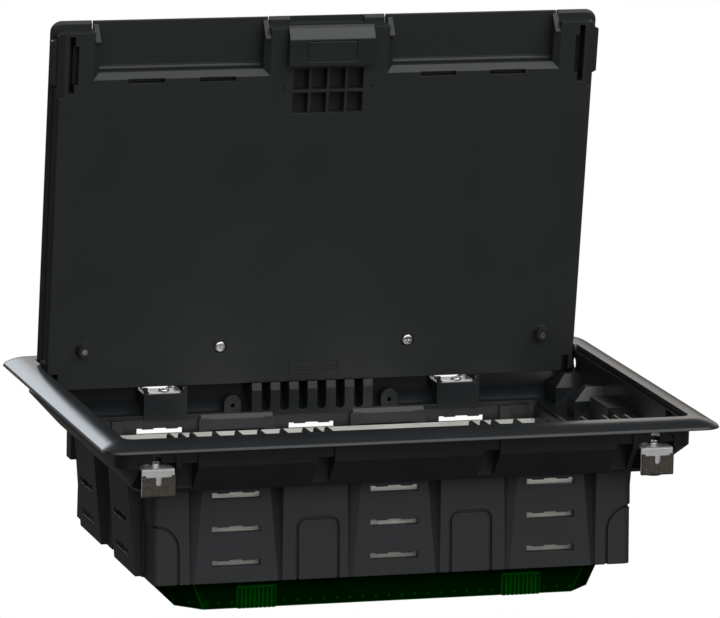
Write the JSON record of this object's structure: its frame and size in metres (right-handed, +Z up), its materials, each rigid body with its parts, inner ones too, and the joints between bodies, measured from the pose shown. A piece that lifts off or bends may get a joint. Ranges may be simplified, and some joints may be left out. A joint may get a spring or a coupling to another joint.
{
  "type": "floor socket box",
  "caption": "Raised floor outlet box with a hinged lid, cable outlets, clamping claws and a slotted lower box over a tapered bottom dish",
  "frame": {"origin": "centre of the flange underside, which is the finished floor level", "axes": "+X to the right seen from the front, +Y to the hinge side of the lid, +Z up out of the floor"},
  "size_m": [0.276, 0.199, 0.2403],
  "materials": {
    "frame_plastic": "satin black plastic, fine grain",
    "body_plastic": "matte black plastic",
    "lid_plastic": "matte black plastic, fine grain",
    "latch_plastic": "satin black plastic",
    "comb_plastic": "matte black plastic",
    "green_clear": "glossy dark green plastic, slightly clear",
    "sheet_steel": "brushed galvanised sheet",
    "claw_steel": "brushed steel sheet",
    "brown_steel": "dull steel",
    "bright_steel": "bright zinc plated steel",
    "rubber_black": "black rubber"
  },
  "bodies": {
    "frame": {"floor_bezel": "frame_plastic", "box_body": "body_plastic", "mounting_plate": "sheet_steel", "earth_bracket": "sheet_steel", "cable_comb_left": "comb_plastic", "cable_comb_right": "comb_plastic", "hinge_pin_left": "brown_steel", "hinge_pin_right": "brown_steel"},
    "dish": {"base_dish": "green_clear"},
    "lid": {"lid_cover": "lid_plastic", "lid_base": "lid_plastic", "flap_pin_left": "bright_steel", "flap_pin_right": "bright_steel", "buffer_peg_left": "rubber_black", "buffer_peg_right": "rubber_black", "buffer_rivets": "bright_steel", "lid_screws": "bright_steel"},
    "latch": {"latch_slider": "latch_plastic"},
    "flap_left": {"cable_flap_left": "lid_plastic"},
    "catch_left": {"side_catch_left": "latch_plastic"},
    "claw_front_left": {"claw_front_left": "claw_steel"},
    "screw_front_left": {"screw_front_left": "bright_steel"},
    "claw_back_left": {"claw_back_left": "claw_steel"},
    "screw_back_left": {"screw_back_left": "bright_steel"},
    "flap_right": {"cable_flap_right": "lid_plastic"},
    "catch_right": {"side_catch_right": "latch_plastic"},
    "claw_front_right": {"claw_front_right": "claw_steel"},
    "screw_front_right": {"screw_front_right": "bright_steel"},
    "claw_back_right": {"claw_back_right": "claw_steel"},
    "screw_back_right": {"screw_back_right": "bright_steel"}
  },
  "joints": [
    {"name": "lid_hinge", "type": "hinge", "parent": "frame", "child": "lid", "pos_m": [0, 0.0743, 0.0012], "axis": [1, 0, 0], "range_deg": [-8, 82.8]},
    {"name": "latch_slide", "type": "slide", "parent": "lid", "child": "latch", "axis": [0, 0.1253, -0.9921], "range_m": [0, 0.004], "stiffness_N_per_m": 400},
    {"name": "dish_slide", "type": "slide", "parent": "frame", "child": "dish", "axis": [0, 0, -1], "range_m": [0, 0.03]},
    {"name": "flap_hinge_left", "type": "hinge", "parent": "lid", "child": "flap_left", "pos_m": [-0.0671, 0.05744, 0.13948], "axis": [1, 0, 0], "range_deg": [-90, 0]},
    {"name": "catch_slide_left", "type": "slide", "parent": "lid", "child": "catch_left", "axis": [1, 0, 0], "range_m": [0, 0.0015], "stiffness_N_per_m": 800},
    {"name": "screw_turn_front_left", "type": "hinge", "parent": "frame", "child": "screw_front_left", "pos_m": [-0.1116, -0.0812, -0.0095], "axis": [0, 0, -1], "range_deg": [0, 1440]},
    {"name": "claw_slide_front_left", "type": "slide", "parent": "frame", "child": "claw_front_left", "axis": [0, 0, -1], "range_m": [0, 0.0072]},
    {"name": "screw_turn_back_left", "type": "hinge", "parent": "frame", "child": "screw_back_left", "pos_m": [-0.0687, 0.0709, -0.0095], "axis": [0, 0, -1], "range_deg": [0, 1440]},
    {"name": "claw_slide_back_left", "type": "slide", "parent": "frame", "child": "claw_back_left", "axis": [0, 0, -1], "range_m": [0, 0.0072]},
    {"name": "flap_hinge_right", "type": "hinge", "parent": "lid", "child": "flap_right", "pos_m": [0.0671, 0.05744, 0.13948], "axis": [1, 0, 0], "range_deg": [-90, 0]},
    {"name": "catch_slide_right", "type": "slide", "parent": "lid", "child": "catch_right", "axis": [-1, 0, 0], "range_m": [0, 0.0015], "stiffness_N_per_m": 800},
    {"name": "screw_turn_front_right", "type": "hinge", "parent": "frame", "child": "screw_front_right", "pos_m": [0.1116, -0.0812, -0.0095], "axis": [0, 0, -1], "range_deg": [0, 1440]},
    {"name": "claw_slide_front_right", "type": "slide", "parent": "frame", "child": "claw_front_right", "axis": [0, 0, -1], "range_m": [0, 0.0072]},
    {"name": "screw_turn_back_right", "type": "hinge", "parent": "frame", "child": "screw_back_right", "pos_m": [0.0687, 0.0709, -0.0095], "axis": [0, 0, -1], "range_deg": [0, 1440]},
    {"name": "claw_slide_back_right", "type": "slide", "parent": "frame", "child": "claw_back_right", "axis": [0, 0, -1], "range_m": [0, 0.0072]}
  ],
  "couplings": [
    {"joint": "screw_turn_front_left", "follows": "claw_slide_front_left", "rad_per_m": 3490.7},
    {"joint": "screw_turn_back_left", "follows": "claw_slide_back_left", "rad_per_m": 3490.7},
    {"joint": "screw_turn_front_right", "follows": "claw_slide_front_right", "rad_per_m": 3490.7},
    {"joint": "screw_turn_back_right", "follows": "claw_slide_back_right", "rad_per_m": 3490.7}
  ]
}
